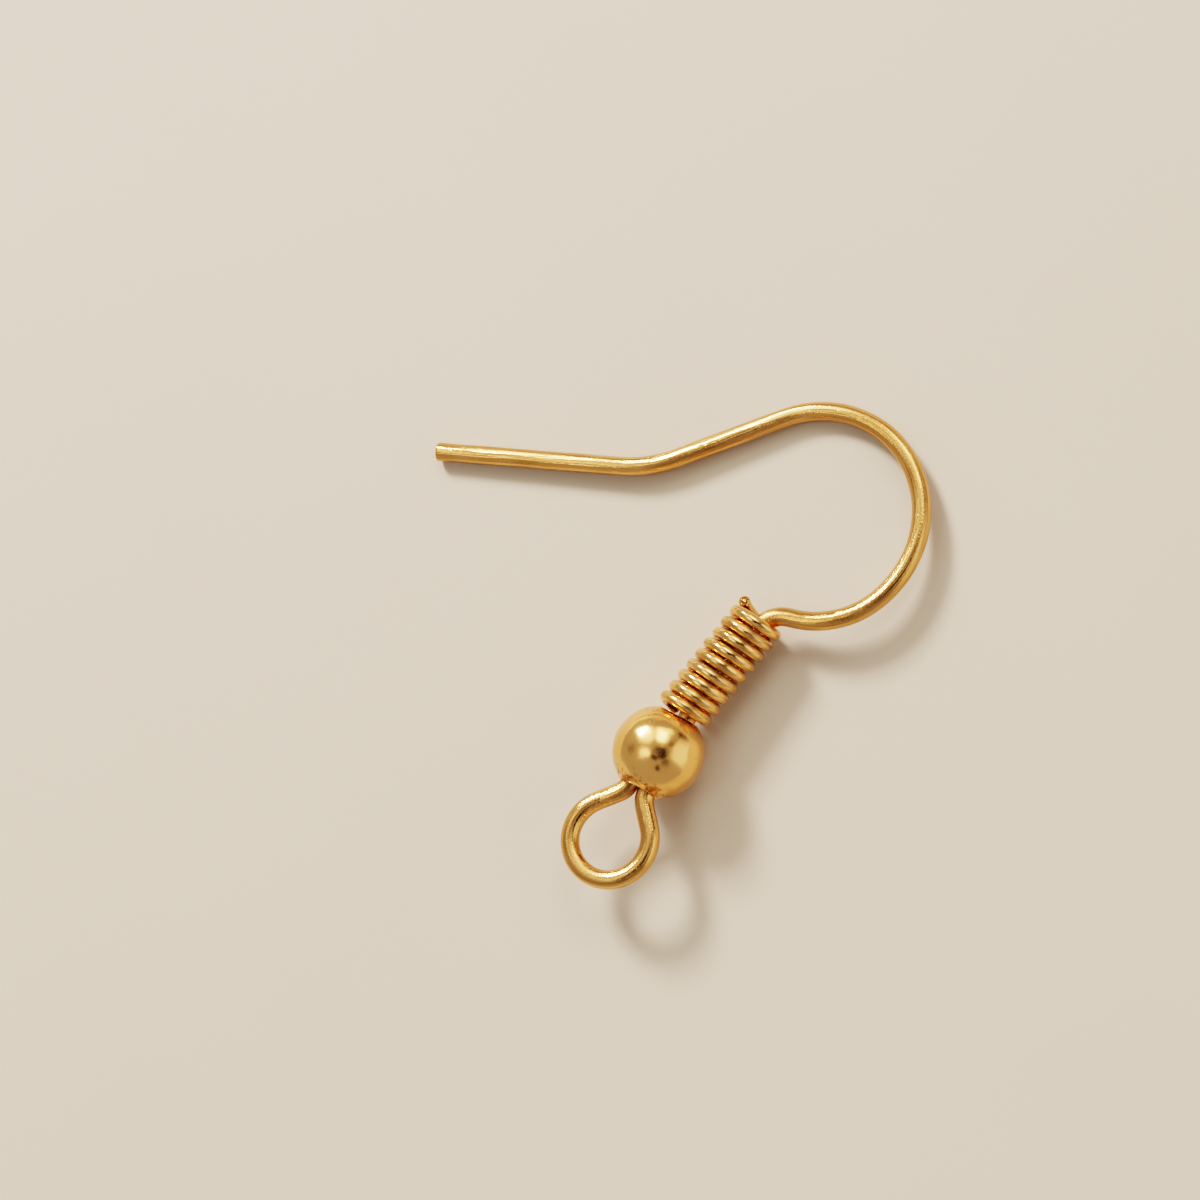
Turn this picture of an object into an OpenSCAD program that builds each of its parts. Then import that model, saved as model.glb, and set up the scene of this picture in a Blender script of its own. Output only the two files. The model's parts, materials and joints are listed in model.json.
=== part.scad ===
// Ball and coil ear wire, lying on its side on a flat surface.
// One bent wire makes the eye, the shank and the hook. Both legs of the eye go
// into a drilled bead. One ends there, and the other goes on through a separate
// close coil of thinner wire. Lengths are in millimetres and angles in degrees.

/* [Wire] */
// Diameter of the bent wire
wire_d = 0.62; // [0.5:0.02:0.8]
// Gap between the eye's two legs where they run side by side in the bead
leg_gap = 0.02; // [0.01:0.01:0.08]
// Bevel round the cut end of the tail
tail_bevel = 0.05; // [0.02:0.01:0.12]

/* [Eye] */
// Inside diameter of the round eye at the foot
eye_d = 2.03; // [1.4:0.01:3]
// Distance from the bead's lower mouth to the top of the eye's middle line
eye_neck = 0.52; // [0.44:0.02:1.2]
// Distance of the eye's centre in front of the middle between its legs
eye_lean = 0.02; // [-0.3:0.01:0.3]
// Bend radius of each leg, to its middle line, where it turns out to the eye
leg_bend_r = 0.56; // [0.42:0.02:0.6]

/* [Bead] */
// Diameter of the round bead
bead_d = 3; // [2.5:0.1:4]
// Clearance that the two legs would have all round in the middle of the hole
bead_clearance = 0.05; // [0.04:0.01:0.12]
// Gap left at the back of the hole, because the bead hangs to the front
bead_touch = 0.015; // [0.01:0.005:0.04]
// Width of the flat ring at each mouth of the hole
mouth_flat = 0.03; // [0.02:0.01:0.15]

/* [Coil] */
// Diameter of the coil's thin wire
coil_wire_d = 0.36; // [0.24:0.02:0.4]
// Inside diameter of the coil
coil_inner_d = 1.1; // [1:0.02:1.4]
// Gap between the leg and the inside of the coil at its front edge
coil_clearance = 0.04; // [0.02:0.01:0.1]
// Number of whole turns, counted at the back edge of the coil
coil_turns = 9; // [5:1:14]
// Rise of each turn
coil_pitch = 0.44; // [0.42:0.005:0.6]
// Extra wire at the foot of the coil, as an angle
coil_lead_angle = 60; // [30:5:90]
// Gap between the end of that wire and the bead
coil_seat_gap = 0.03; // [0.02:0.01:0.1]

/* [Shank] */
// Length of straight wire between the bead's upper mouth and the set of the shank
set_rise = 0.1; // [0.05:0.05:0.4]
// Bend radius of the set, to the wire's middle line
set_r = 1.8; // [1.2:0.1:3]
// Angle by which the coil leans forward of the bead's axis
set_angle = 11; // [2:1:14]
// Distance by which the inner leg stops short of the bead's upper mouth
leg_stop = 0.3; // [0.1:0.05:1]

/* [Hook] */
// Depth at which the throat bend starts, below the front of the coil's top turn
throat_drop = 0.12; // [0:0.01:0.14]
// Radius of the throat bend, where the wire leaves the coil to the front
throat_r = 0.9; // [0.6:0.05:1.2]
// Angle of the throat bend
throat_angle = 69.5; // [60:0.5:85]
// Radius of the front bend, which sweeps up from the throat
front_r = 3.1; // [2.6:0.05:3.6]
// Angle of the front bend
front_angle = 57.5; // [50:0.5:70]
// Radius of the crown, the flatter bend over the top
crown_r = 3.6; // [3:0.05:4.2]
// Angle of the crown
crown_angle = 80.5; // [72:0.5:88]
// Radius of the back bend, which turns the wire down behind
back_r = 3.45; // [3:0.05:4]
// Angle of the back bend
back_angle = 78.5; // [72:0.5:86]
// Length of straight wire between the back bend and the kick
back_run = 3.75; // [2.5:0.05:5]
// Radius of the kick, which turns the tail outwards
kick_r = 4.4; // [3:0.1:6]
// Angle of the kick
kick_angle = 25.5; // [16:0.5:40]
// Length of the straight tail
tail_run = 6.35; // [4:0.05:8]

/* [Hidden] */
$fn = 48;
gold = [0.86, 0.66, 0.3];
// Angle between the places that are measured round a bend
trace_step = 3;
// The straight and bent pieces of the wire reach this far into one another, and
// neighbours differ this much in radius, so that none of their faces coincide
join_lap = 0.02;
join_step = 0.002;

// The wire's own plane is drawn first: x towards the front of the hook, y along
// the bead's hole towards the coil, with the bead's centre at the origin. The
// two legs stand a little behind the middle of the hole.
wire_r = wire_d / 2;
leg_aside = (wire_d + leg_gap) / 2;
bead_r = bead_d / 2;
hole_r = leg_aside + wire_r + bead_clearance;
mouth_y = sqrt(pow(bead_r, 2) - pow(hole_r + mouth_flat, 2));
pair_x = bead_touch - bead_clearance;
leg_start = [pair_x + leg_aside, -mouth_y];

// The set bends the front leg, which then goes straight through the coil. The
// coil's own axis lies behind that leg, and its foot is level with the set's end.
set_y = mouth_y + set_rise;
set_end = [leg_start.x + set_r * (1 - cos(set_angle)), set_y + set_r * sin(set_angle)];
coil_up = [sin(set_angle), cos(set_angle)];
coil_side = [cos(set_angle), -sin(set_angle)];
coil_foot = set_end - coil_side * (coil_inner_d / 2 - coil_clearance - wire_r);

// Height of the lowest turn on that axis, where the end of its wire, down behind
// the leg, just clears the bead
coil_r = (coil_inner_d + coil_wire_d) / 2;
turn_slope = atan(coil_pitch / 4 / coil_r);
bead_reach = bead_r + coil_wire_d / 2 + coil_seat_gap;
lead_drop = coil_pitch / 4 * (1 - cos(coil_lead_angle));
lead_aside = coil_foot * coil_side - coil_r * cos(coil_lead_angle);
lead_behind = coil_r / cos(turn_slope) * sin(coil_lead_angle);
coil_base = sqrt(pow(bead_reach, 2) - pow(lead_aside, 2) - pow(lead_behind, 2))
    - coil_foot * coil_up + lead_drop;
throat_y = coil_base + (coil_turns - 0.5) * coil_pitch - throat_drop;

// Each leg runs from the bead's lower mouth along a line that touches both its
// own bend and the eye's circle: the line's heading and length are returned.
eye_r = eye_d / 2 + wire_r;
eye_centre = [pair_x + eye_lean, -mouth_y - eye_neck - eye_r];
function leg_line(side) =
    let (across = eye_centre - [pair_x + side * (leg_aside + leg_bend_r), -mouth_y],
         far = norm(across),
         both = leg_bend_r + eye_r)
    [atan2(across.y, across.x) + side * asin(both / far), sqrt(far * far - both * both)];
front_leg = leg_line(1);
back_leg = leg_line(-1);

// Bending tables. Each row is a straight run, the radius of the bend after it
// and the bend's angle, which is positive to the left. Both tables start at the
// front leg in the bead's lower mouth: one goes up and one goes down.
hook_bends = [
    [mouth_y + set_y, set_r, -set_angle],
    [throat_y, throat_r, -throat_angle],
    [0, front_r, front_angle],
    [0, crown_r, crown_angle],
    [0, back_r, back_angle],
    [back_run, kick_r, -kick_angle],
    [tail_run - tail_bevel, 0, 0]
];
eye_bends = [
    [0, leg_bend_r, front_leg[0] + 90],
    [front_leg[1], eye_r, back_leg[0] - front_leg[0] - 180],
    [back_leg[1], leg_bend_r, -90 - back_leg[0]],
    [2 * mouth_y - leg_stop, 0, 0]
];

// A place on the wire is [x, y, heading]
function ahead(place, run) =
    [place[0] + run * cos(place[2]), place[1] + run * sin(place[2]), place[2]];
function round_bend(place, r, angle) =
    let (side = sign(angle), heading = place[2])
    [place[0] + side * r * (sin(heading + angle) - sin(heading)),
     place[1] - side * r * (cos(heading + angle) - cos(heading)),
     heading + angle];

// The places where the rows of a bending table start, and where the last ends
function row_places(start, bends) =
    [for (i = 0, place = start;
          i <= len(bends);
          place = i < len(bends)
              ? round_bend(ahead(place, bends[i][0]), bends[i][1], bends[i][2])
              : place,
          i = i + 1) place];

// Places along a bending table, closely spaced round the bends
function trace(start, bends) =
    let (places = row_places(start, bends))
    [for (i = [0 : len(bends) - 1])
        let (bend_start = ahead(places[i], bends[i][0]),
             steps = ceil(abs(bends[i][2]) / trace_step))
        each [places[i], for (k = [0 : steps])
            round_bend(bend_start, bends[i][1], bends[i][2] * k / max(steps, 1))],
     places[len(bends)]];

hook_start = [leg_start.x, leg_start.y, 90];
eye_start = [leg_start.x, leg_start.y, -90];
wire_trace = concat(trace(hook_start, hook_bends), trace(eye_start, eye_bends));

// Lying down, the part rests on the bead, on the back bend and on the tail's
// end. The floor line is the line in the wire's plane that touches the last two.
tail_row = len(hook_bends) - 1;
back_row = tail_row - 2;
tail_place = row_places(hook_start, hook_bends)[tail_row];
tail_end = ahead(tail_place, tail_run - tail_bevel);
back_place = row_places(hook_start, hook_bends)[back_row];
back_centre = [back_place[0] - back_r * sin(back_place[2]),
               back_place[1] + back_r * cos(back_place[2])];
to_tail = [tail_end[0], tail_end[1]] - back_centre;
floor_angle = atan2(to_tail.y, to_tail.x) - acos(back_r / norm(to_tail));
downhill = [cos(floor_angle), sin(floor_angle)];
along = [downhill.y, -downhill.x];
lean = asin((bead_r - wire_r) / (downhill * back_centre + back_r));

// Where a point or a direction of the wire's plane goes when the part lies down
function lay(p) =
    let (q = [p[0], p[1]],
         flat = along * (q * along) + downhill * (q * downhill) * cos(lean))
    [flat.x, flat.y, -(q * downhill) * sin(lean)];

// How far the wire's surface reaches along the axis of that number: 1 or -1 is
// the side. The origin then goes midway below the part.
function reach(axis, side) =
    max([for (place = wire_trace)
        let (aim = lay([cos(place[2]), sin(place[2])]))
        side * lay(place)[axis] + wire_r * sqrt(1 - pow(aim[axis], 2))]);
middle = [for (axis = [0, 1]) (reach(axis, 1) - reach(axis, -1)) / 2];

module lie_down() {
    translate([-middle.x, -middle.y, bead_r])
        rotate(a = -lean, v = [along.x, along.y, 0])
            children();
}

// The wire of a bending table: a straight rod and a piece of a ring for each
// row. The last row has no bend, and its rod ends flush.
module bent_wire(start, bends) {
    places = row_places(start, bends);
    for (i = [0 : len(bends) - 1]) {
        run = bends[i][0];
        bend_r = bends[i][1];
        angle = bends[i][2];
        translate([places[i][0], places[i][1], 0])
            rotate([0, 0, places[i][2]]) {
                if (run > 0)
                    translate([-join_lap, 0, 0])
                        rotate([0, 90, 0])
                            cylinder(h = run + (bend_r > 0 ? 2 : 1) * join_lap, r = wire_r);
                if (bend_r > 0)
                    translate([run, sign(angle) * bend_r, 0])
                        ring_piece(bend_r, angle, wire_r + (1 + i % 2) * join_step);
            }
    }
}

// A bent piece of wire, lapped at both ends
module ring_piece(bend_r, angle, r) {
    lap_angle = join_lap / bend_r * 180 / PI;
    rotate_extrude(start = (angle > 0 ? -90 : 90 + angle) - lap_angle,
                   angle = abs(angle) + 2 * lap_angle)
        translate([bend_r, 0]) circle(r = r);
}

module ear_hook() {
    color(gold)
        lie_down() {
            bent_wire(hook_start, hook_bends);
            bent_wire(eye_start, eye_bends);
            translate([tail_end[0], tail_end[1], 0])
                rotate([0, 0, tail_end[2]])
                    translate([-join_lap, 0, 0])
                        rotate([0, 90, 0])
                            cylinder(h = tail_bevel + join_lap,
                                     r1 = wire_r - join_step, r2 = wire_r - tail_bevel);
        }
}

module bead() {
    color(gold)
        lie_down()
            rotate([90, 0, 0])
                difference() {
                    sphere(r = bead_r);
                    cylinder(h = bead_d + 1, r = hole_r, center = true);
                    for (side = [-1, 1])
                        translate([0, 0, side * (mouth_y + bead_r)])
                            cylinder(h = bead_d, r = bead_d, center = true);
                }
}

// A half turn of the coil: a tilted half ring, from the front edge of the coil
// round behind it to the back edge. Half turns meet end to end, each turned
// half round the axis from the one below it.
module half_turn(number, skip = 0) {
    translate([0, (number + 0.5) * coil_pitch / 2, 0])
        rotate([0, 180 * (number + 1), 0])
            rotate([0, 0, -turn_slope])
                rotate([-90, 0, 0])
                    rotate_extrude(start = skip, angle = 180 - skip)
                        translate([coil_r / cos(turn_slope), 0])
                            circle(r = coil_wire_d / 2);
}

module coil() {
    color(gold)
        lie_down()
            translate([coil_foot.x, coil_foot.y, 0])
                rotate([0, 0, -set_angle])
                    translate([0, coil_base, 0]) {
                        half_turn(-1, skip = 180 - coil_lead_angle);
                        for (number = [0 : 2 * coil_turns - 1])
                            half_turn(number);
                    }
}

ear_hook();
bead();
coil();
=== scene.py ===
import bpy
import json
import numpy as np
from mathutils import Matrix, Vector


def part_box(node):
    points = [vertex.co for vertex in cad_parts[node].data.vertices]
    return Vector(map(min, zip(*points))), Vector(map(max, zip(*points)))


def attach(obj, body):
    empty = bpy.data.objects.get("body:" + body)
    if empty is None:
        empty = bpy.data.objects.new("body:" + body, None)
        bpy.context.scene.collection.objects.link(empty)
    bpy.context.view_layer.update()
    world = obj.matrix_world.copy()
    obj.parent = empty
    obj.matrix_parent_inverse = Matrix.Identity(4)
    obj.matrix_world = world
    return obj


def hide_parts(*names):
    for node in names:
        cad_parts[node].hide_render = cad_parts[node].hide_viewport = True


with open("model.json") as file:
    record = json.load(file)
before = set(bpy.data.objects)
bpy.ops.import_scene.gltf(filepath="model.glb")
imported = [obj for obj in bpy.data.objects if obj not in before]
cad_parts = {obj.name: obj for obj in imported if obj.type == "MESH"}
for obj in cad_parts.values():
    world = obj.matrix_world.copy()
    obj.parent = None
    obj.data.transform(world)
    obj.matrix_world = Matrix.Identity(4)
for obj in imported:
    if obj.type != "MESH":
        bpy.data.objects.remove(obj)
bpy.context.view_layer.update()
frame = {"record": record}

# The hook
# One length of round brass wire, cut square, bent on pegs in one plane and gold plated afterwards. It
# starts inside the bead, rounds the eye, goes up through bead and coil, and round the arch to the tail.
MM = 0.001
wire_r = 0.31
wire_ring_step = 0.05
wire_sides = 40
tail_bevel = 0.06

# The wire follows the bead that it goes through. Each mouth is a flat ring of this width
bead_r = 1.5
hole_r = 0.68
mouth_flat = 0.03
mouth_y = np.sqrt(bead_r**2 - (hole_r + mouth_flat) ** 2)
# The two legs stand a little behind the middle of the bead's hole
pair_x = -0.035
leg_gap = 0.02
leg_aside = wire_r + leg_gap / 2
leg_bend_r = 0.56
# The wire's hidden end stops this short of the bead's upper mouth
hidden_end_short = 0.3

eye_hole_r = 1.015
eye_r = eye_hole_r + wire_r
eye_lean = 0.02
eye_neck = 0.52
eye_centre = np.array([pair_x + eye_lean, -mouth_y - eye_neck - eye_r])

# Above the bead the front leg is set forwards, by a slight bend
set_rise = 0.1
set_y = mouth_y + set_rise
set_r = 1.8
set_angle = 11
coil_lean = np.radians(set_angle)
set_end = [pair_x + leg_aside + set_r * (1 - np.cos(coil_lean)), set_y + set_r * np.sin(coil_lean)]

# The coil hangs on that leg from its front and stands on the bead. The throat bends just
# below its top, so the wire's length follows from the coil's sizes
coil_wire_r = 0.18
coil_r = 0.73
coil_pitch = 0.44
coil_turns = 9
coil_lead = np.radians(60)
coil_clearance = 0.04
coil_seat_gap = 0.03
coil_up = np.array([np.sin(coil_lean), np.cos(coil_lean)])
coil_side = np.array([np.cos(coil_lean), -np.sin(coil_lean)])
coil_foot = set_end - coil_side * (coil_r - coil_wire_r - coil_clearance - wire_r)
# Where the coil's first point, on its lead angle, is a seat gap off the round bead
seat_r = bead_r + coil_wire_r + coil_seat_gap
lead_aside = coil_foot @ coil_side - coil_r * np.cos(coil_lead)
lead_behind = coil_r * np.sin(coil_lead)
coil_base = (np.sqrt(seat_r**2 - lead_aside**2 - lead_behind**2)
             - coil_foot @ coil_up + coil_pitch / 4 * (1 - np.cos(coil_lead)))
throat_drop = 0.12
throat_y = coil_base + (coil_turns - 0.5) * coil_pitch - throat_drop


def leg_line(side):
    """Heading in degrees and length of the straight part of a leg between bead and eye.

    It is the line that touches the leg's own small bend on one side and the eye's circle
    on the other: the heading to the eye's centre, turned by the angle whose sine is the
    sum of both radii over the distance between their centres."""
    across = eye_centre - np.array([pair_x + side * (leg_aside + leg_bend_r), -mouth_y])
    far = np.hypot(*across)
    both = leg_bend_r + eye_r
    heading = np.arctan2(across[1], across[0]) + side * np.arcsin(both / far)
    return np.degrees(heading), np.sqrt(far**2 - both**2)


front_heading, front_run = leg_line(1)
back_heading, back_run = leg_line(-1)
# Each row: straight run, radius of the bend after it, angle of that bend to the left. In
# turn: back leg, eye, front leg, set, throat, front, crown and back of the arch, kick, tail
wire_bends = np.array([
    [2 * mouth_y - hidden_end_short, leg_bend_r, 90 + back_heading],
    [back_run, eye_r, 180 + front_heading - back_heading],
    [front_run, leg_bend_r, -90 - front_heading],
    [mouth_y + set_y, set_r, -set_angle],
    [throat_y, 0.9, -69.5],
    [0, 3.1, 57.5],
    [0, 3.6, 80.5],
    [0, 3.45, 78.5],
    [3.75, 4.4, -25.5],
    [6.35, 1, 0],
])
# The row whose straight run goes up through the bead on the front leg, counted from 0
bead_row = 3


def bent_line(bends, ease=0.3, step=0.01):
    """Places, headings and distances along the middle of a bent wire, in its own plane.

    A bend's curvature is one over its radius. The curvature is averaged over a short
    stretch, since springy wire rounds off every change. Its running sum is the heading,
    and the running sum of the heading's direction is the place. The whole is then put
    where the front leg goes straight up through the middle of the bead."""
    run, radius, angle = bends.T
    stretches = np.stack([run, radius * np.abs(np.radians(angle))], 1).ravel()
    curvatures = np.stack([0 * run, np.sign(angle) / radius], 1).ravel()
    ends = np.cumsum(stretches)
    distance = np.arange(step / 2, ends[-1], step)
    curvature = curvatures[np.searchsorted(ends, distance)]
    window = np.hanning(int(ease / step) * 2 + 1)
    padded = np.pad(curvature, len(window) // 2, "edge")
    curvature = np.convolve(padded, window / window.sum(), "valid")
    heading = np.cumsum(curvature * step)
    place = np.cumsum(np.stack([np.cos(heading), np.sin(heading)], 1) * step, axis=0)
    middle = np.searchsorted(distance, ends[2 * bead_row - 1] + mouth_y)
    turn = np.pi / 2 - heading[middle]
    turned = (place - place[middle]) @ np.array([[np.cos(turn), np.sin(turn)],
                                                 [-np.sin(turn), np.cos(turn)]])
    return turned + [pair_x + leg_aside, 0], heading + turn, distance


# The wire's plane leans from the floor as the axis of the eye's mount says
mounts = {mount["name"]: mount for mount in frame["record"]["mounts"]}
plane_turn = Vector((0, 0, 1)).rotation_difference(Vector(mounts["drop_eye"]["axis"]))
plane_turn = np.array(plane_turn.to_matrix())
bead_centre = np.mean(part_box("bead"), axis=0)


def lay_down(points):
    """Points of the wire's plane, in millimetres from the bead's centre with the third
    number square to the plane, as places on the floor in metres."""
    return points @ plane_turn.T * MM + bead_centre


def ripple(points, wave, height, seed, waves=24):
    """Slight unevenness over a surface: the sum of plain sine waves that run in random
    directions of space, with lengths round the given one and random starts. Their root
    mean square is the given height."""
    chance = np.random.default_rng(seed)
    pull = chance.normal(size=(waves, 3))
    length = np.linalg.norm(pull, axis=1)
    pull *= (2 * np.pi / wave / length * chance.uniform(0.6, 1.6, waves))[:, None]
    start = chance.uniform(0, 2 * np.pi, waves)
    return height * np.sqrt(2 / waves) * np.sin(points @ pull.T + start).sum(-1)


def round_bar(place, heading, rise, radius, angles):
    """Rings round a line: its place, plus the radius times the cosine of the angle along
    the line's left side, plus the radius times the sine along the second side, rise."""
    left = np.stack([-np.sin(heading), np.cos(heading), 0 * heading], 1)
    aside = np.cos(angles)[None, :, None] * left[:, None] + np.sin(angles)[None, :, None] * rise
    return place[:, None] + radius[..., None] * aside


def skin(name, rings, joined=False):
    """A smooth mesh over a grid of points: each ring is joined to the next by squares.
    The first and last rings are closed by a fan about their middles, or joined."""
    rows, columns = rings.shape[:2]
    index = np.arange(rows * columns).reshape(rows, columns)
    points = rings.reshape(-1, 3)
    last = np.roll(index, -1, 0) if joined else index[1:]
    first = index if joined else index[:-1]
    faces = np.stack([first, np.roll(first, -1, 1), np.roll(last, -1, 1), last], -1)
    faces = faces.reshape(-1, 4).tolist()
    if not joined:
        points = np.vstack([points, rings[0].mean(0), rings[-1].mean(0)])
        low, high = index[0], index[-1]
        low_middle = np.full(columns, rows * columns)
        faces += np.stack([low_middle, np.roll(low, -1), low], 1).tolist()
        faces += np.stack([low_middle + 1, high, np.roll(high, -1)], 1).tolist()
    mesh = bpy.data.meshes.new(name)
    mesh.from_pydata(points.tolist(), [], faces)
    mesh.shade_smooth()
    piece = bpy.data.objects.new(name, mesh)
    bpy.context.scene.collection.objects.link(piece)
    return piece


def mark(piece, name, values):
    """Stores one number or vector per point of the piece for its material to read. The
    points that close the ends take the mean of their ring."""
    flat = values.reshape(-1, *values.shape[2:])
    spare = len(piece.data.vertices) - len(flat)
    if spare:
        flat = np.concatenate([flat, [values[0].mean(0)], [values[-1].mean(0)]])
    kind, field = ("FLOAT_VECTOR", "vector") if flat.ndim == 2 else ("FLOAT", "value")
    attribute = piece.data.attributes.new(name, kind, "POINT")
    attribute.data.foreach_set(field, flat.astype(np.float32).ravel())


def cut_end(length, radius, bevel, spacing, flat=0.6):
    """Distances and radii of the rings along a bar whose cut ends are slightly rounded:
    a quarter circle at each end, and one smaller ring that holds the end flat."""
    quarter = np.linspace(0, np.pi / 2, 5)
    tip = bevel * (1 - np.sin(quarter))
    tip_r = radius - bevel * (1 - np.cos(quarter))
    body = np.arange(bevel + spacing, length - bevel - spacing / 2, spacing)
    at = np.concatenate([[0], tip[::-1], body, length - tip, [length]])
    size = np.concatenate([[radius * flat], tip_r[::-1], 0 * body + radius, tip_r, [radius * flat]])
    return at, size


line_place, line_heading, line_distance = bent_line(wire_bends)
ring_at, ring_r = cut_end(line_distance[-1], wire_r, tail_bevel, wire_ring_step)
ring_heading = np.interp(ring_at, line_distance, line_heading)
ring_place = np.stack([np.interp(ring_at, line_distance, line_place[:, 0]),
                       np.interp(ring_at, line_distance, line_place[:, 1]), 0 * ring_at], 1)
ring_angles = np.linspace(0, 2 * np.pi, wire_sides, endpoint=False)
# The wire laid straight: distance along it, and place across it
straight = np.stack(np.broadcast_arrays(
    ring_at[:, None], wire_r * np.cos(ring_angles), wire_r * np.sin(ring_angles)), -1)

# Marks of the pliers, as shallow bell-shaped dents. Each row: distance along the wire, angle
# round it, half length, half width and depth
plier_marks = np.array([
    [3.4, 1.3, 0.20, 0.10, 0.012],
    [4.4, 2.1, 0.16, 0.08, 0.010],
    [10.2, 1.2, 0.20, 0.09, 0.012],
    [17.5, 1.9, 0.22, 0.10, 0.014],
    [18.2, 1.1, 0.16, 0.08, 0.012],
    [18.9, 1.7, 0.25, 0.09, 0.014],
    [19.8, 1.0, 0.20, 0.07, 0.009],
    [35.6, 1.9, 0.22, 0.10, 0.013],
    [36.4, 1.2, 0.18, 0.08, 0.010],
])
dents = 0
for along, angle, half_length, half_width, depth in plier_marks:
    round_it = wire_r * np.angle(np.exp(1j * (ring_angles - angle)))
    reach = ((ring_at - along) / half_length)[:, None] ** 2 + (round_it / half_width) ** 2
    dents = dents + depth * np.exp(-reach)
# Die and bending leave the wire a little uneven, in long waves along it and broader ones
uneven = ripple(straight * [0.35, 1, 1], 0.5, 0.0012, seed=3) + ripple(straight, 2.5, 0.002, seed=4)
hook = skin("hook_wire", lay_down(round_bar(
    ring_place, ring_heading, np.array([0, 0, 1]), ring_r[:, None] + uneven - dents, ring_angles)))
mark(hook, "wire_place", straight)
# Stretches at both mouths of the bead and inside the coil, darkened as painted shade and
# made duller. Each row: distance along the wire, half length
shaded_dull_stretches = np.array([[2.45, 0.16], [10.95, 0.16], [15.5, 1.9]])
stretch_shade_and_dullness = np.exp(-((ring_at[:, None] - shaded_dull_stretches[:, 0]) / shaded_dull_stretches[:, 1]) ** 4).sum(1)
mark(hook, "shade_and_dullness", np.clip(stretch_shade_and_dullness, 0, 1)[:, None] + 0 * ring_angles)


def add(tree, kind, inputs=(), **settings):
    """A shader node with its settings made and its inputs set, or linked if they are
    outputs of other nodes."""
    node = tree.nodes.new(kind)
    for name, value in settings.items():
        setattr(node, name, value)
    for name, value in dict(inputs).items():
        if isinstance(value, bpy.types.NodeSocket):
            tree.links.new(value, node.inputs[name])
        else:
            node.inputs[name].default_value = value
    return node


def effect(name, inputs, outputs):
    """A shader node group with named sockets, and its own input and output nodes."""
    group = bpy.data.node_groups.new(name, "ShaderNodeTree")
    for socket, (kind, value) in inputs.items():
        made = group.interface.new_socket(name=socket, in_out="INPUT", socket_type=kind)
        if value is not None:
            made.default_value = value
    for socket, kind in outputs.items():
        group.interface.new_socket(name=socket, in_out="OUTPUT", socket_type=kind)
    return group, group.nodes.new("NodeGroupInput").outputs, group.nodes.new("NodeGroupOutput").inputs


def use(tree, group, inputs):
    """That effect placed in a material, with its own values."""
    node = tree.nodes.new("ShaderNodeGroup")
    node.node_tree = group
    for name, value in inputs.items():
        if isinstance(value, bpy.types.NodeSocket):
            tree.links.new(value, node.inputs[name])
        else:
            node.inputs[name].default_value = value
    return node.outputs


def draw_lines():
    """Fine lines that the drawing die leaves along a wire: the sum of a broad and a fine
    noise, both stretched many times along the wire. Where the sum is low, in the grooves,
    the second output marks a dark streak of painted shade."""
    group, given, out = effect("Draw Lines", {
        "Place": ("NodeSocketVector", None),
        "Lines per mm": ("NodeSocketFloat", 12.0),
        "Length in mm": ("NodeSocketFloat", 2.0),
    }, {"Height": "NodeSocketFloat", "Streaks": "NodeSocketFloat"})
    along = add(group, "ShaderNodeMath", {0: 1.0, 1: given["Length in mm"]}, operation="DIVIDE")
    scale = add(group, "ShaderNodeCombineXYZ", {
        "X": along.outputs[0], "Y": given["Lines per mm"], "Z": given["Lines per mm"]})
    spread = add(group, "ShaderNodeVectorMath", {0: given["Place"], 1: scale.outputs[0]},
                 operation="MULTIPLY")
    broad = add(group, "ShaderNodeTexNoise", {"Vector": spread.outputs[0], "Scale": 0.5, "Detail": 2.0})
    fine = add(group, "ShaderNodeTexNoise", {"Vector": spread.outputs[0], "Scale": 1.3, "Detail": 1.0})
    both = add(group, "ShaderNodeMath", {0: broad.outputs["Fac"], 1: fine.outputs["Fac"]},
               operation="ADD")
    # Painted shade: a dark streak where the sum is low, in the grooves
    groove_shade = add(group, "ShaderNodeMapRange", {
        "Value": both.outputs[0], "From Min": 1.02, "From Max": 0.83, "To Min": 0.0, "To Max": 1.0})
    group.links.new(both.outputs[0], out["Height"])
    group.links.new(groove_shade.outputs[0], out["Streaks"])
    return group


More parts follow.
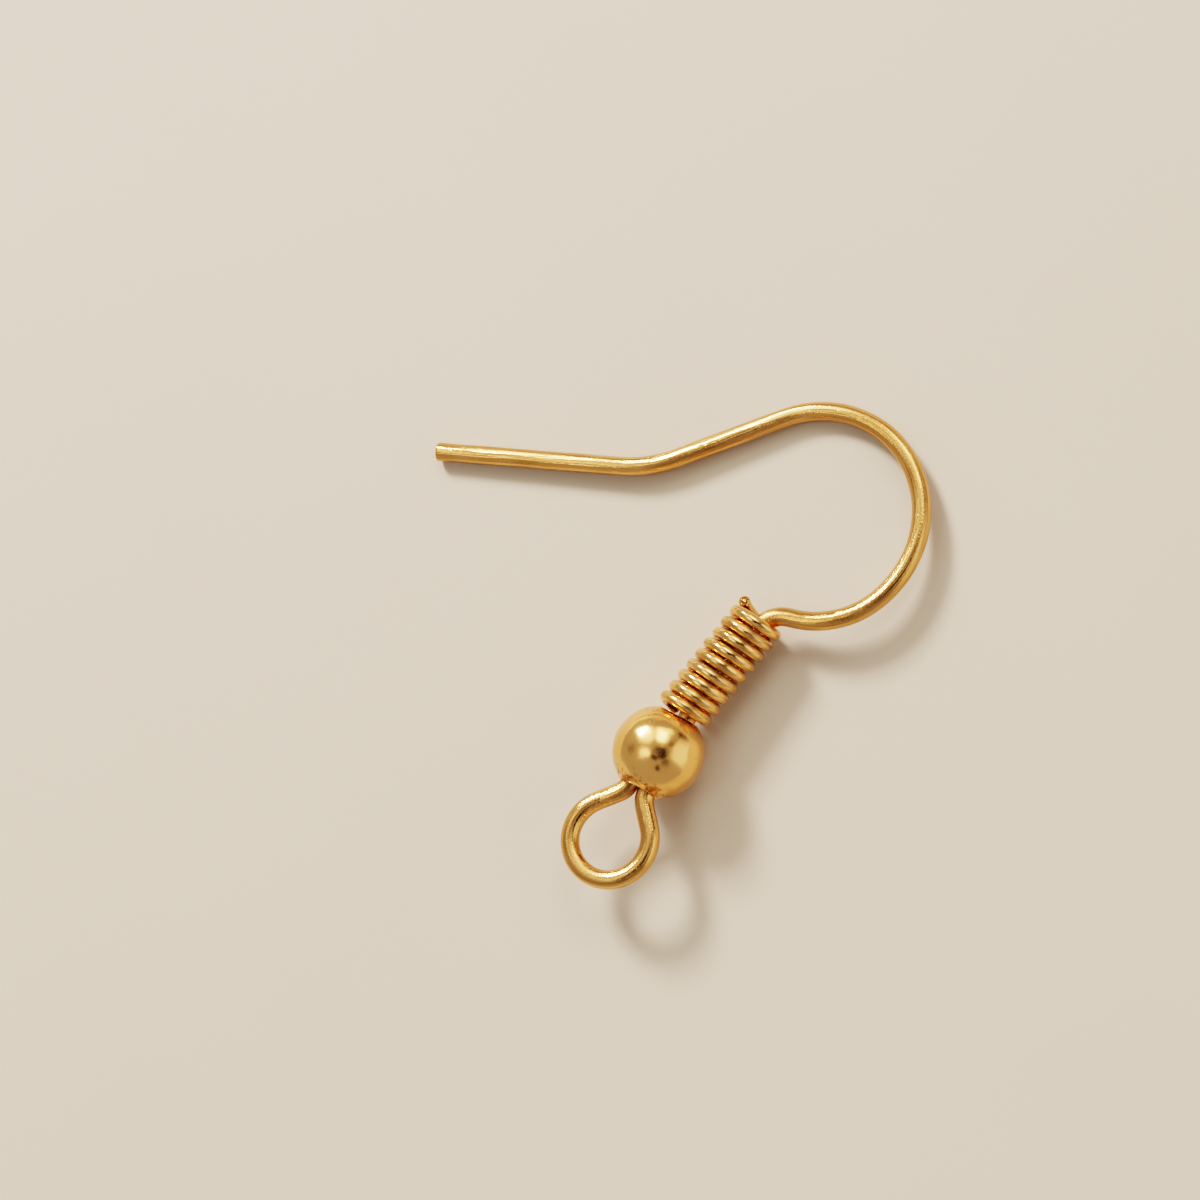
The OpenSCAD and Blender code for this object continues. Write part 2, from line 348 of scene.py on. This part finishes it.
def plating_grain():
    """The grain of an electroplated skin: an even orange peel, less the depth of small
    round pits that gather in patches. A pit is the middle of a cell, and a broad noise
    sets how far it reaches."""
    group, given, out = effect("Plating Grain", {
        "Place": ("NodeSocketVector", None),
        "Grain in mm": ("NodeSocketFloat", 0.08),
        "Pit in mm": ("NodeSocketFloat", 0.12),
        "Pits": ("NodeSocketFloat", 0.5),
    }, {"Height": "NodeSocketFloat", "Pits": "NodeSocketFloat"})
    grain_scale = add(group, "ShaderNodeMath", {0: 1.0, 1: given["Grain in mm"]}, operation="DIVIDE")
    pit_scale = add(group, "ShaderNodeMath", {0: 1.0, 1: given["Pit in mm"]}, operation="DIVIDE")
    peel = add(group, "ShaderNodeTexNoise", {
        "Vector": given["Place"], "Scale": grain_scale.outputs[0], "Detail": 2.0, "Roughness": 0.6})
    cells = add(group, "ShaderNodeTexVoronoi", {"Vector": given["Place"], "Scale": pit_scale.outputs[0]})
    patches = add(group, "ShaderNodeTexNoise", {"Vector": given["Place"], "Scale": 1.6, "Detail": 2.0})
    reach = add(group, "ShaderNodeMapRange", {
        "Value": patches.outputs["Fac"], "From Min": 0.45, "From Max": 0.7,
        "To Min": 0.0, "To Max": 0.42})
    limit = add(group, "ShaderNodeMath", {0: reach.outputs[0], 1: given["Pits"]}, operation="MULTIPLY")
    pit = add(group, "ShaderNodeMapRange", {
        "Value": cells.outputs["Distance"], "From Min": 0.0, "From Max": limit.outputs[0],
        "To Min": 1.0, "To Max": 0.0}, interpolation_type="SMOOTHSTEP")
    height = add(group, "ShaderNodeMath", {0: peel.outputs["Fac"], 1: pit.outputs[0]},
                 operation="SUBTRACT")
    group.links.new(height.outputs[0], out["Height"])
    group.links.new(pit.outputs[0], out["Pits"])
    return group


def plating_tone():
    """The colour and the polish of the plating: two golds and two polishes, mixed by one
    broad cloud, with the pits dark and dull. On the wires the pits come with painted shade,
    which is made dark and dull in the same way."""
    group, given, out = effect("Plating Tone", {
        "Place": ("NodeSocketVector", None),
        "Cloud in mm": ("NodeSocketFloat", 1.5),
        "Gold": ("NodeSocketColor", (0.98, 0.525, 0.195, 1)),
        "Deep Gold": ("NodeSocketColor", (0.88, 0.44, 0.145, 1)),
        "Pit and Shade Colour": ("NodeSocketColor", (0.32, 0.17, 0.06, 1)),
        "Pits": ("NodeSocketFloat", 0.0),
        "Polish": ("NodeSocketFloat", 0.14),
        "Dull Polish": ("NodeSocketFloat", 0.22),
        "Pit Polish": ("NodeSocketFloat", 0.5),
    }, {"Colour": "NodeSocketColor", "Roughness": "NodeSocketFloat"})
    scale = add(group, "ShaderNodeMath", {0: 1.0, 1: given["Cloud in mm"]}, operation="DIVIDE")
    cloud = add(group, "ShaderNodeTexNoise", {
        "Vector": given["Place"], "Scale": scale.outputs[0], "Detail": 3.0})
    share = add(group, "ShaderNodeMapRange", {
        "Value": cloud.outputs["Fac"], "From Min": 0.3, "From Max": 0.7})
    # A Mix of colours has them in inputs 6 and 7 and its result in output 2, and a Mix of
    # numbers has them in inputs 2 and 3
    gold = add(group, "ShaderNodeMix", {0: share.outputs[0]}, data_type="RGBA")
    group.links.new(given["Gold"], gold.inputs[6])
    group.links.new(given["Deep Gold"], gold.inputs[7])
    pitted = add(group, "ShaderNodeMix", {0: given["Pits"]}, data_type="RGBA")
    group.links.new(gold.outputs[2], pitted.inputs[6])
    group.links.new(given["Pit and Shade Colour"], pitted.inputs[7])
    rough = add(group, "ShaderNodeMix", {
        0: share.outputs[0], 2: given["Polish"], 3: given["Dull Polish"]})
    dull = add(group, "ShaderNodeMix", {0: given["Pits"], 2: rough.outputs[0], 3: given["Pit Polish"]})
    group.links.new(pitted.outputs[2], out["Colour"])
    group.links.new(dull.outputs[0], out["Roughness"])
    return group


lines_effect = draw_lines()
grain_effect = plating_grain()
tone_effect = plating_tone()


def metal(name):
    """An empty material with a metallic shader, ready for its effects."""
    material = bpy.data.materials.new(name)
    material.use_nodes = True
    shader = material.node_tree.nodes["Principled BSDF"]
    shader.inputs["Metallic"].default_value = 1.0
    return material, material.node_tree, shader


micrometre = 1e-6
# How dark the painted shade is in the grooves of the draw lines and along the marked stretches
groove_shade_darkness = 0.6
shade_darkness = 0.35
cloud_dulling = 0.05


def wire_finish(name, gold, deep_gold, lines_per_mm, line_depth, grain_depth, polish):
    """Gold plated drawn wire. It is dark and dull where there are pits, or by the sum of its
    painted shade: streaks in the grooves of its lines, and the stretches and lines that the
    piece marks. Its height is the sum of lines and grain, with depths in micrometres."""
    material, tree, shader = metal(name)
    place = add(tree, "ShaderNodeAttribute", attribute_name="wire_place").outputs["Vector"]
    lines = use(tree, lines_effect, {
        "Place": place, "Lines per mm": lines_per_mm, "Length in mm": 3.0})
    grain = use(tree, grain_effect, {
        "Place": place, "Grain in mm": 0.06, "Pit in mm": 0.1, "Pits": 0.6})
    shade_and_dullness = add(tree, "ShaderNodeAttribute", attribute_name="shade_and_dullness").outputs["Fac"]
    # Painted shade: the grooves' streaks and the marked stretches darken the colour, as the pits do
    groove_shading = add(tree, "ShaderNodeMath", {0: lines["Streaks"], 1: groove_shade_darkness},
                  operation="MULTIPLY")
    painted_shade = add(tree, "ShaderNodeMath", {0: shade_and_dullness, 1: shade_darkness, 2: groove_shading.outputs[0]},
               operation="MULTIPLY_ADD")
    dark = add(tree, "ShaderNodeMath", {0: painted_shade.outputs[0], 1: grain["Pits"]}, operation="MAXIMUM")
    tone = use(tree, tone_effect, {
        "Place": place, "Pits": dark.outputs[0], "Gold": (*gold, 1), "Deep Gold": (*deep_gold, 1),
        "Polish": polish, "Dull Polish": polish + cloud_dulling})
    deep_lines = add(tree, "ShaderNodeMath", {0: lines["Height"], 1: line_depth}, operation="MULTIPLY")
    height = add(tree, "ShaderNodeMath", {0: grain["Height"], 1: grain_depth, 2: deep_lines.outputs[0]},
                 operation="MULTIPLY_ADD")
    bump = add(tree, "ShaderNodeBump", {"Height": height.outputs[0], "Distance": micrometre})
    tree.links.new(tone["Colour"], shader.inputs["Base Color"])
    tree.links.new(tone["Roughness"], shader.inputs["Roughness"])
    tree.links.new(bump.outputs["Normal"], shader.inputs["Normal"])
    return material


# Its golds are darker than the coil's and the bead's, though one plating covers them: painted shade over
# the whole hook
hook.data.materials.append(wire_finish(
    "plated_hook_wire", gold=(0.88, 0.455, 0.165), deep_gold=(0.69, 0.335, 0.105),
    lines_per_mm=12.0, line_depth=15.0, grain_depth=8.0, polish=0.08))
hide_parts("ear_hook")
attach(hook, "root")

# The bead
# A solid round brass bead, drilled through, tumbled and gold plated, and threaded on both legs of the
# wire. The drill's break-out leaves a narrow flat ring and a soft rim at both mouths.
rim_r = 0.035
sphere_steps = 110
wall_steps = 14
bead_steps = 160


def bead_profile():
    """Half of the bead cut through its hole: distance from the hole's axis and height
    along it. A round outside, a quarter-circle rim, a flat ring, another rim and the
    wall of the hole, as one closed outline."""
    edge = np.arccos(mouth_y / bead_r)
    sweep = np.linspace(-np.pi / 2 + edge, np.pi / 2 - edge, sphere_steps)
    outside = np.stack([bead_r * np.cos(sweep), bead_r * np.sin(sweep)], 1)
    turn = np.linspace(0, np.pi / 2, 6)
    inner_rim = np.stack([hole_r + rim_r * (1 - np.sin(turn)), mouth_y - rim_r * (1 - np.cos(turn))], 1)
    wall_end = mouth_y - 2 * rim_r
    wall = np.stack([np.full(wall_steps, hole_r), np.linspace(wall_end, -wall_end, wall_steps)], 1)
    return np.vstack([outside, inner_rim, wall, inner_rim[::-1] * [1, -1]])


profile = bead_profile()
bead_angles = np.linspace(0, 2 * np.pi, bead_steps, endpoint=False)
across, up = profile.T
bead_grid = np.stack([across * np.cos(bead_angles)[:, None], up + 0 * bead_angles[:, None],
                      across * np.sin(bead_angles)[:, None]], -1)
out_from_middle = np.linalg.norm(bead_grid, axis=-1, keepdims=True)
# Tumbling leaves the round outside a little uneven, and the hole and its rims true. The
# outside starts this far below the full radius, and it is drawn in so that no crest stands proud
skin_depth = 0.03
skin_blend = 0.02
drawn_in = 0.01
outer_skin = np.clip((out_from_middle - bead_r + skin_depth) / skin_blend, 0, 1)
bead_uneven = ripple(bead_grid, 1.6, 0.008, seed=11) + ripple(bead_grid, 0.55, 0.0028, seed=12)
bead_grid = bead_grid * (1 + outer_skin * (bead_uneven[..., None] - drawn_in) / bead_r)
bead = skin("round_bead", lay_down(bead_grid), joined=True)
# Wear stays within this reach of either mouth's rim, measured outwards plus along the hole
wear_reach = 0.7
rim_middle = hole_r + 0.05
aside_of_rim = np.abs(np.hypot(bead_grid[..., 0], bead_grid[..., 2]) - rim_middle)
off_mouth = np.abs(np.abs(bead_grid[..., 1]) - mouth_y)
mark(bead, "rim_wear", np.exp(-(((aside_of_rim + off_mouth) / wear_reach) ** 4)))


# Depths: the grain in micrometres, and a scuff in times the grain's depth
bead_grain_depth = 2
scuff_depth = 2.0


def bead_finish():
    """Gold plated and tumbled brass. It is dark in its pits and in the scuffs, which are
    the high parts of a cloudy noise and show near the mouths alone. Its height is the
    grain's, less the depth of the scuffs."""
    material, tree, shader = metal("plated_bead")
    object_place = add(tree, "ShaderNodeTexCoord").outputs["Object"]
    place = add(tree, "ShaderNodeMapping", {
        "Vector": object_place, "Location": -bead_centre / MM, "Scale": (1 / MM,) * 3}).outputs[0]
    grain = use(tree, grain_effect, {
        "Place": place, "Grain in mm": 0.11, "Pit in mm": 0.1, "Pits": 1.0})
    wear = add(tree, "ShaderNodeAttribute", attribute_name="rim_wear").outputs["Fac"]
    scuff = add(tree, "ShaderNodeTexNoise", {"Vector": place, "Scale": 6.0, "Detail": 4.0})
    scuffed = add(tree, "ShaderNodeMapRange", {
        "Value": scuff.outputs["Fac"], "From Min": 0.55, "From Max": 0.63})
    worn = add(tree, "ShaderNodeMath", {0: scuffed.outputs[0], 1: wear}, operation="MULTIPLY")
    marks = add(tree, "ShaderNodeMath", {0: worn.outputs[0], 1: grain["Pits"]}, operation="MAXIMUM")
    tone = use(tree, tone_effect, {
        "Place": place, "Pits": marks.outputs[0], "Polish": 0.16, "Dull Polish": 0.21})
    dip = add(tree, "ShaderNodeMath", {0: worn.outputs[0], 1: scuff_depth}, operation="MULTIPLY")
    height = add(tree, "ShaderNodeMath", {0: grain["Height"], 1: dip.outputs[0]}, operation="SUBTRACT")
    bump = add(tree, "ShaderNodeBump", {
        "Height": height.outputs[0], "Distance": bead_grain_depth * micrometre})
    tree.links.new(tone["Colour"], shader.inputs["Base Color"])
    tree.links.new(tone["Roughness"], shader.inputs["Roughness"])
    tree.links.new(bump.outputs["Normal"], shader.inputs["Normal"])
    return material


bead.data.materials.append(bead_finish())
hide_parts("bead")
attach(bead, "root")

# The coil
# Finer brass wire, wound on a thin rod, cut off, slid over the front leg above the bead and plated with
# it. The winding is a little uneven, and its cut top end springs up.
# The visible wire is a little thicker than the bare one, so that only thin gaps part the turns
coil_skin_r = 0.196
coil_bevel = 0.13
coil_ring_step = 0.06
coil_sides = 24
coil_tip = np.radians(10)
waver_up = 0.008
waver_out = 0.004
# The last half turn is pressed down by this share of the pitch, and inwards
pressed_down = 0.22
pressed_in = 0.1
spring_up = 0.03
spring_out = 0.02
# The cut end springs off over this many radians
spring_angle = 0.8


def coil_line(step=0.004):
    """The middle line of the coil in its own axes: side, up its axis, and square to the
    hook's plane. It is a circle of the coil's radius that starts below, behind the leg,
    and rises by the pitch each turn. Slow sine waves make the turns waver in height and
    width. The last half turn is pressed down on the one below it and inwards, by half a
    sine wave, and the square of a ramp springs its cut end up and outwards."""
    angle = np.arange(-coil_lead, 2 * np.pi * coil_turns + coil_tip, step)
    turns = angle / (2 * np.pi)
    waver = waver_up * np.sin(2.1 * turns + 0.5) * np.sin(5.3 * turns)
    last_half = np.clip(2 * (turns - coil_turns) + 1, 0, 1)
    pressed = np.sin(np.pi * last_half**1.3)
    spring = np.clip(1 - (angle[-1] - angle) / spring_angle, 0, 1) ** 2
    rise = coil_pitch * (turns - pressed_down * pressed) + waver + spring_up * spring
    swell = waver_out * np.sin(3.7 * turns + 1)
    radius = coil_r + swell - pressed_in * pressed + spring_out * spring
    return np.stack([-radius * np.cos(angle), rise, radius * np.sin(angle)], 1)


coil_place = coil_line()
coil_place[:, :2] = (coil_place[:, :1] * coil_side + coil_place[:, 1:2] * coil_up
                     + coil_foot + coil_base * coil_up)
gaps = np.linalg.norm(np.diff(coil_place, axis=0), axis=1)
coil_distance = np.concatenate([[0], np.cumsum(gaps)])
coil_at, coil_ring_r = cut_end(coil_distance[-1], coil_skin_r, coil_bevel, coil_ring_step)
coil_middle = np.stack([np.interp(coil_at, coil_distance, axis) for axis in coil_place.T], 1)
coil_heading = np.stack([np.interp(coil_at, coil_distance, axis)
                         for axis in np.gradient(coil_place, axis=0).T], 1)
coil_heading /= np.linalg.norm(coil_heading, axis=1)[:, None]
coil_axis = np.array([*coil_up, 0])
outwards = np.cross(coil_heading, coil_axis)
outwards /= np.linalg.norm(outwards, axis=1)[:, None]
upwards = np.cross(outwards, coil_heading)
# Rings round that line, by the cosine of the angle upwards plus its sine outwards
coil_angles = np.linspace(0, 2 * np.pi, coil_sides, endpoint=False)
coil_aside = (np.cos(coil_angles)[None, :, None] * upwards[:, None]
              + np.sin(coil_angles)[None, :, None] * outwards[:, None])
coil_rings = coil_middle[:, None] + coil_ring_r[:, None, None] * coil_aside
coil = skin("shank_coil", lay_down(coil_rings))
mark(coil, "wire_place", np.stack(np.broadcast_arrays(
    coil_at[:, None], coil_wire_r * np.cos(coil_angles), coil_wire_r * np.sin(coil_angles)), -1))
# The turns touch along their upper and lower sides. There a line is darkened as painted shade
# between the turns and made dull, and the high power of the cosine keeps it narrow
touching_shade = 0.8
mark(coil, "shade_and_dullness", touching_shade * np.abs(np.cos(coil_angles)) ** 16 + 0 * coil_at[:, None])
coil.data.materials.append(wire_finish(
    "plated_coil_wire", gold=(1.0, 0.57, 0.23), deep_gold=(0.92, 0.48, 0.17),
    lines_per_mm=16.0, line_depth=7.0, grain_depth=2.5, polish=0.1))
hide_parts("coil")
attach(coil, "root")

# The table
# A plain pale matt plaster top, far wider than the view, with the faintest mottle. The bead, the back
# of the arch and the tail's end rest on it, and it isn't part of the piece.
table_half = 0.6
table_mesh = bpy.data.meshes.new("table_top")
corners = np.array([[-1, -1, 0], [1, -1, 0], [1, 1, 0], [-1, 1, 0]]) * table_half
table_mesh.from_pydata(corners.tolist(), [], [(0, 1, 2, 3)])
table = bpy.data.objects.new("table_top", table_mesh)
bpy.context.scene.collection.objects.link(table)
plaster = bpy.data.materials.new("pale_plaster")
plaster.use_nodes = True
tree = plaster.node_tree
mottle = add(tree, "ShaderNodeTexNoise", {
    "Vector": add(tree, "ShaderNodeTexCoord").outputs["Object"], "Scale": 90.0, "Detail": 3.0})
tint = add(tree, "ShaderNodeMix", {0: mottle.outputs["Fac"]}, data_type="RGBA")
tint.inputs[6].default_value = (0.585, 0.485, 0.385, 1)
tint.inputs[7].default_value = (0.61, 0.51, 0.408, 1)
tree.links.new(tint.outputs[2], tree.nodes["Principled BSDF"].inputs["Base Color"])
tree.nodes["Principled BSDF"].inputs["Roughness"].default_value = 0.6
table_mesh.materials.append(plaster)

# The light
# A dim warm room with soft boxes, as smooth bright patches of the sky round the object, and one lamp
# that casts the soft shadows.

# Each row: heading clockwise from +Y, height above the horizon, half width and softness of
# the edge, all in degrees, and brightness. A negative one is dark: the camera, its stand
# and the wall behind them
sky_patches = {
    "top_box": (-2, 45, 19, 14, 1.3),
    "top_box_tube": (-2, 47, 9, 12, 2.6),
    "left_box": (-125, 68, 11, 12, 1.6),
    "key_screen": (-57, 48, 13, 16, 1.1),
    "right_box": (68, 14, 26, 10, 0.7),
    "dark_left": (-108, 36, 8, 10, -0.16),
    "dark_right": (38, 10, 12, 12, -0.36),
    "camera_body": (78, 64, 13, 9, -0.6),
    "stand_head": (40, 80, 6, 8, -0.3),
    "stand_column": (152, 75, 8, 9, -0.4),
    "stand_leg": (42, 40, 6, 8, -0.3),
    "stand_other_leg": (145, 42, 9, 9, -0.3),
    "dark_behind": (108, 44, 8, 10, -0.25),
}
room_brightness = 0.34
# No stretch of the room is darker than this
darkest = 0.02
world = bpy.data.worlds.new("dim_room")
world.use_nodes = True
tree = world.node_tree
facing = add(tree, "ShaderNodeTexCoord").outputs["Generated"]


def aim(heading, height):
    """The direction with that heading clockwise from +Y and that height, in degrees."""
    turn, up = np.radians([heading, height])
    return np.array([np.sin(turn) * np.cos(up), np.cos(turn) * np.cos(up), np.sin(up)])


# The room's brightness plus each patch's, which fades in over its soft edge as the view's
# direction closes on the patch's own
brightness = room_brightness
for heading, height, half_width, softness, bright in sky_patches.values():
    closeness = add(tree, "ShaderNodeVectorMath", {0: facing, 1: aim(heading, height)},
                    operation="DOT_PRODUCT")
    outer, inner = np.cos(np.radians([half_width + softness / 2, max(half_width - softness / 2, 0)]))
    patch = add(tree, "ShaderNodeMapRange", {
        "Value": closeness.outputs["Value"], "From Min": outer, "From Max": inner,
        "To Min": 0.0, "To Max": bright}, interpolation_type="SMOOTHSTEP")
    brightness = add(tree, "ShaderNodeMath", {0: patch.outputs[0], 1: brightness}).outputs[0]
lit = add(tree, "ShaderNodeMath", {0: brightness, 1: darkest}, operation="MAXIMUM")
tree.links.new(lit.outputs[0], tree.nodes["Background"].inputs["Strength"])
tree.nodes["Background"].inputs["Color"].default_value = (1.0, 0.93, 0.82, 1)
bpy.context.scene.world = world

key_aim = (-59, 36)
key_distance = 0.4
key_size = 0.09
key_brightness = 64.0
key = bpy.data.lights.new("key_box", "AREA")
key.shape = "RECTANGLE"
key.size = key.size_y = key_size
# The power of a lamp whose face has that brightness
key.energy = np.pi * key_size**2 * key_brightness
key.color = (1.0, 0.96, 0.90)
key_box = bpy.data.objects.new("key_box", key)
key_box.location = aim(*key_aim) * key_distance
key_box.rotation_euler = Vector(aim(*key_aim)).to_track_quat("Z", "Y").to_euler()
bpy.context.scene.collection.objects.link(key_box)
# A tone curve like that of film, in which the brightest gold turns creamy
film = bpy.context.scene.view_settings
film.view_transform = "Filmic"
film.look = "High Contrast"
film.exposure = 0.36

# The camera
# It looks steeply down from the front of the hook, turned so that the shank slants. Pixels are of the
# 1200 by 1200 picture, and the bead's middle is at the pixel given here.
picture = 1200
bead_pixel = np.array([658.7, 752.5])
pixels_across = 3744
view_distance = 0.12
view_height, view_heading, view_roll = np.radians([72.78, -90.0, -62.88])
forward = np.array([np.sin(view_heading) * np.cos(view_height),
                    np.cos(view_heading) * np.cos(view_height), -np.sin(view_height)])
level = np.cross(forward, [0, 0, 1])
level /= np.linalg.norm(level)
upright = np.cross(level, forward)
right = level * np.cos(view_roll) + upright * np.sin(view_roll)
up = upright * np.cos(view_roll) - level * np.sin(view_roll)
# How far the bead's middle lies from the middle of the view, to the right and down
off = (bead_pixel - picture / 2) / pixels_across * view_distance
camera_place = bead_centre - forward * view_distance - right * off[0] + up * off[1]
lens = bpy.data.cameras.new("view")
lens.sensor_width = 36
lens.lens = pixels_across / picture * lens.sensor_width
lens.clip_start, lens.clip_end = 0.01, 10
camera = bpy.data.objects.new("view", lens)
camera_axes = np.column_stack([right, up, -forward, camera_place])
camera.matrix_world = Matrix(np.vstack([camera_axes, [0, 0, 0, 1]]).tolist())
bpy.context.scene.collection.objects.link(camera)
bpy.context.scene.camera = camera
